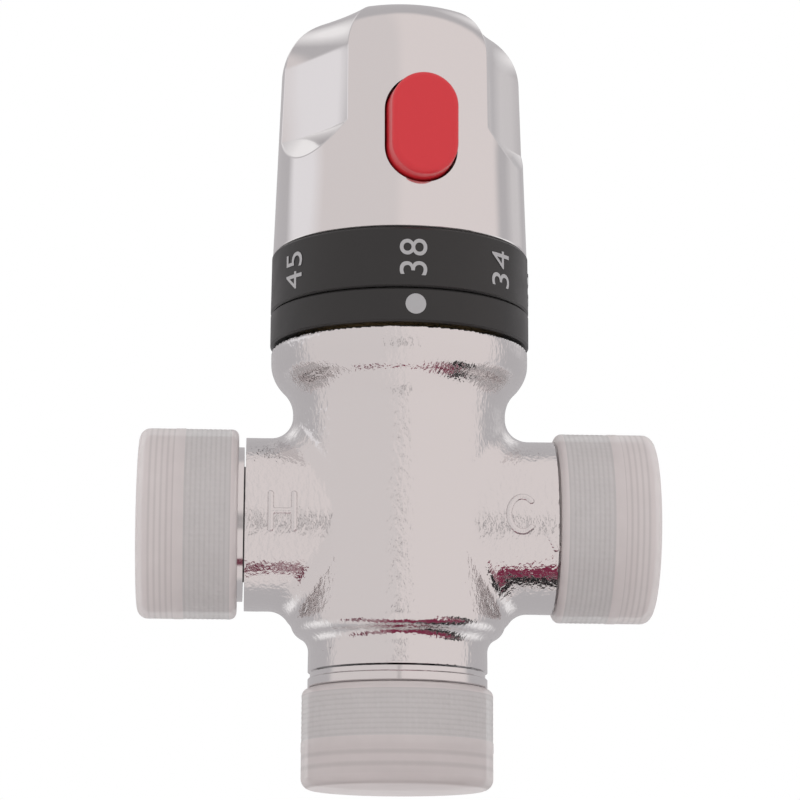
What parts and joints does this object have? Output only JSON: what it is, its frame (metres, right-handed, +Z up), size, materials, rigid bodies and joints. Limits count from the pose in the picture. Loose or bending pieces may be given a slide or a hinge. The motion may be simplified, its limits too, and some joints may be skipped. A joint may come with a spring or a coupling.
{
  "type": "thermostatic mixing valve",
  "caption": "Chromed inline thermostatic mixing valve: hot and cold side inlets, outlet below, capped threads, turning handle with red lock button above a numbered black ring.",
  "frame": {"origin": "centre of the outlet's end face", "axes": "+Z up the valve axis towards the handle, -X towards the hot inlet, +X towards the cold inlet, -Y to the front"},
  "size_m": [0.0812, 0.0445, 0.1255],
  "materials": {
    "cast_chrome": "bright chrome over a lightly rippled casting",
    "polished_chrome": "polished chrome",
    "black_ring": "satin black",
    "red_button": "glossy",
    "cap_plastic": "translucent, milky",
    "brass": "machined",
    "white_plastic": "moulded",
    "dark_plastic": "moulded",
    "rubber_seal": "matt",
    "spring_steel": "bright drawn wire",
    "strainer_steel": "pressed sheet"
  },
  "bodies": {
    "casting": {"valve_casting": "cast_chrome", "index_ring": "black_ring", "bonnet": "brass", "bonnet_o_ring": "rubber_seal", "stop_ring": "dark_plastic", "cartridge_housing": "white_plastic", "lower_o_ring": "rubber_seal", "middle_o_ring": "rubber_seal", "upper_seat": "brass", "spring_seat": "strainer_steel", "return_spring": "spring_steel", "hot_strainer": "strainer_steel", "hot_check_housing": "white_plastic", "hot_check_o_ring": "rubber_seal", "hot_check_spring": "spring_steel", "cold_strainer": "strainer_steel", "cold_check_housing": "white_plastic", "cold_check_o_ring": "rubber_seal", "cold_check_spring": "spring_steel"},
    "handle": {"handle_shell": "polished_chrome", "number_ring": "black_ring", "handle_insert": "dark_plastic", "handle_screw": "spring_steel", "top_plug": "polished_chrome", "spindle": "brass", "spindle_o_ring_lower": "rubber_seal", "spindle_o_ring_upper": "rubber_seal", "spindle_clip": "spring_steel", "button_spring": "spring_steel"},
    "button": {"button": "red_button"},
    "adjuster": {"adjuster_nut": "brass", "adjuster_clip": "spring_steel", "overload_cup": "brass", "overload_spring": "spring_steel", "element_piston": "spring_steel"},
    "element": {"wax_element": "brass", "element_nut": "brass", "shuttle": "white_plastic", "shuttle_o_ring": "rubber_seal"},
    "hot_check": {"hot_check_poppet": "white_plastic", "hot_check_seal": "rubber_seal"},
    "cold_check": {"cold_check_poppet": "white_plastic", "cold_check_seal": "rubber_seal"},
    "hot_cap": {"hot_cap": "cap_plastic"},
    "cold_cap": {"cold_cap": "cap_plastic"},
    "outlet_cap": {"outlet_cap": "cap_plastic"}
  },
  "joints": [
    {"name": "handle_turn", "type": "hinge", "parent": "casting", "child": "handle", "pos_m": [0, 0, 0.0973], "axis": [0, 0, 1], "range_deg": [-88, 102]},
    {"name": "button_press", "type": "slide", "parent": "handle", "child": "button", "axis": [-0.1219, 0.9925, 0], "range_m": [0, 0.0025], "stiffness_N_per_m": 500, "springref_m": -0.002, "deforming": ["button_spring"]},
    {"name": "adjuster_lift", "type": "slide", "parent": "casting", "child": "adjuster", "axis": [0, 0, 1], "range_m": [-0.00037, 0.00043], "deforming": ["return_spring"]},
    {"name": "element_stroke", "type": "slide", "parent": "adjuster", "child": "element", "axis": [0, 0, 1], "range_m": [-0.0005, 0.0005], "stiffness_N_per_m": 1500, "deforming": ["return_spring"]},
    {"name": "hot_check_open", "type": "slide", "parent": "casting", "child": "hot_check", "axis": [1, 0, 0], "range_m": [0, 0.0022], "stiffness_N_per_m": 120, "springref_m": -0.003, "deforming": ["hot_check_spring"]},
    {"name": "cold_check_open", "type": "slide", "parent": "casting", "child": "cold_check", "axis": [-1, 0, 0], "range_m": [0, 0.0022], "stiffness_N_per_m": 120, "springref_m": -0.003, "deforming": ["cold_check_spring"]},
    {"name": "hot_cap_pull", "type": "slide", "parent": "casting", "child": "hot_cap", "axis": [-1, 0, 0], "range_m": [0, 0.035]},
    {"name": "cold_cap_pull", "type": "slide", "parent": "casting", "child": "cold_cap", "axis": [1, 0, 0], "range_m": [0, 0.035]},
    {"name": "outlet_cap_pull", "type": "slide", "parent": "casting", "child": "outlet_cap", "axis": [0, 0, -1], "range_m": [0, 0.035]}
  ],
  "couplings": [
    {"joint": "adjuster_lift", "follows": "handle_turn", "m_per_rad": 0.00023873}
  ]
}
